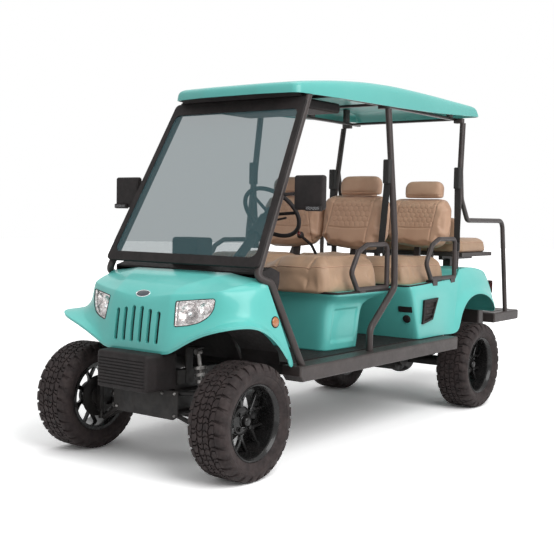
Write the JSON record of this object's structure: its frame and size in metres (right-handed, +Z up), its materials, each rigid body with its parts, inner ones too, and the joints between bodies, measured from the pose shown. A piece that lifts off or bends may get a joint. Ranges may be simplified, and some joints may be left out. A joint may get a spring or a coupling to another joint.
{
  "type": "golf cart",
  "caption": "Lifted electric golf cart with forward benches, a rear-facing flip seat, canopy roof, windshield, grab rails and chunky all-terrain tyres.",
  "frame": {"origin": "on the ground, under the middle of the whole length and width", "axes": "+X forward, +Y to the driver's (left) side, +Z up"},
  "size_m": [3.86, 1.484, 2.1098],
  "materials": {
    "tyre": "chunky all-terrain rubber",
    "rim_black": "gloss black with machined edges",
    "body_paint": "glossy turquoise moulded panels",
    "trim_black": "textured black moulding",
    "steel_black": "powder-coated dark brown-black",
    "chassis_black": "matt black chassis coat",
    "steel": "plain steel",
    "seat_tan": "tan two-tone vinyl leather, stitched",
    "glass": "tinted acrylic",
    "lamp_clear": "clear lens over chrome reflector",
    "lamp_red": "dark red lens",
    "lamp_amber": "amber lens",
    "grip": "soft black grip",
    "belt": "woven black webbing"
  },
  "bodies": {
    "chassis": {"battery_pack": "trim_black", "brake_lever": "trim_black", "charge_port": "trim_black", "dashboard": "trim_black", "flip_carrier": "steel_black", "floor_pan": "trim_black", "foot_platform": "steel_black", "frame_rails": "chassis_black", "front_bumper": "trim_black", "front_cowl": "body_paint", "front_pillars": "steel_black", "front_shocks": "steel", "front_subframe": "chassis_black", "headlights": "lamp_clear", "headrests": "seat_tan", "hip_restraints": "steel_black", "leaf_springs": "chassis_black", "marker_lamps": "lamp_amber", "middle_pillars": "steel_black", "mirrors": "trim_black", "motor": "chassis_black", "overhead_console": "trim_black", "pedals": "steel", "rear_axle": "chassis_black", "rear_body": "body_paint", "rear_bumper": "steel_black", "rear_pillars": "steel_black", "roof_frame": "steel_black", "roof_shell": "body_paint", "seat_backs": "seat_tan", "seat_belts": "belt", "seat_carriers": "steel_black", "seat_cushions": "seat_tan", "seat_pod": "body_paint", "side_steps": "steel_black", "side_vents": "trim_black", "steering_column": "trim_black", "steering_rack": "chassis_black", "suspension_arms": "chassis_black", "tail_lamps": "lamp_red", "wheel_liners": "trim_black", "windshield_frame": "trim_black", "windshield_glass": "glass"},
    "wheel_front_left": {"tyre_front_left": "tyre", "rim_front_left": "rim_black"},
    "wheel_front_right": {"tyre_front_right": "tyre", "rim_front_right": "rim_black"},
    "wheel_rear_left": {"tyre_rear_left": "tyre", "rim_rear_left": "rim_black"},
    "wheel_rear_right": {"tyre_rear_right": "tyre", "rim_rear_right": "rim_black"},
    "knuckle_left_body": {"knuckle_left": "chassis_black"},
    "knuckle_right_body": {"knuckle_right": "chassis_black"},
    "track_rod_body": {"track_rod": "steel"},
    "steering_wheel_body": {"steering_wheel": "grip"},
    "flip_seat": {"flip_deck": "steel_black", "flip_cushion": "seat_tan"}
  },
  "joints": [
    {"name": "steering_turn", "type": "hinge", "parent": "chassis", "child": "steering_wheel_body", "pos_m": [0.99, 0.225, 1.318], "axis": [-0.766, 0, 0.6428], "range_deg": [-450, 450]},
    {"name": "knuckle_left_steer", "type": "hinge", "parent": "chassis", "child": "knuckle_left_body", "pos_m": [1.635, 0.44, 0.292], "axis": [0, 0, 1], "range_deg": [-30, 30]},
    {"name": "knuckle_right_steer", "type": "hinge", "parent": "chassis", "child": "knuckle_right_body", "pos_m": [1.635, -0.44, 0.292], "axis": [0, 0, 1], "range_deg": [-30, 30]},
    {"name": "track_rod_slide", "type": "slide", "parent": "chassis", "child": "track_rod_body", "axis": [0, -1, 0], "range_m": [-0.0605, 0.0605]},
    {"name": "wheel_front_left_spin", "type": "hinge", "parent": "knuckle_left_body", "child": "wheel_front_left", "pos_m": [1.635, 0.545, 0.292], "axis": [0, 1, 0], "continuous": true},
    {"name": "wheel_front_right_spin", "type": "hinge", "parent": "knuckle_right_body", "child": "wheel_front_right", "pos_m": [1.635, -0.545, 0.292], "axis": [0, 1, 0], "continuous": true},
    {"name": "wheel_rear_left_spin", "type": "hinge", "parent": "chassis", "child": "wheel_rear_left", "pos_m": [-0.895, 0.545, 0.292], "axis": [0, 1, 0], "continuous": true},
    {"name": "wheel_rear_right_spin", "type": "hinge", "parent": "chassis", "child": "wheel_rear_right", "pos_m": [-0.895, -0.545, 0.292], "axis": [0, 1, 0], "continuous": true},
    {"name": "flip_seat_hinge", "type": "hinge", "parent": "chassis", "child": "flip_seat", "pos_m": [-1.515, 0, 1.045], "axis": [0, -1, 0], "range_deg": [0, 180]}
  ],
  "couplings": [
    {"joint": "knuckle_left_steer", "follows": "steering_turn", "ratio": 0.066667},
    {"joint": "knuckle_right_steer", "follows": "steering_turn", "ratio": 0.066667},
    {"joint": "track_rod_slide", "follows": "steering_turn", "m_per_rad": 0.0076394}
  ]
}
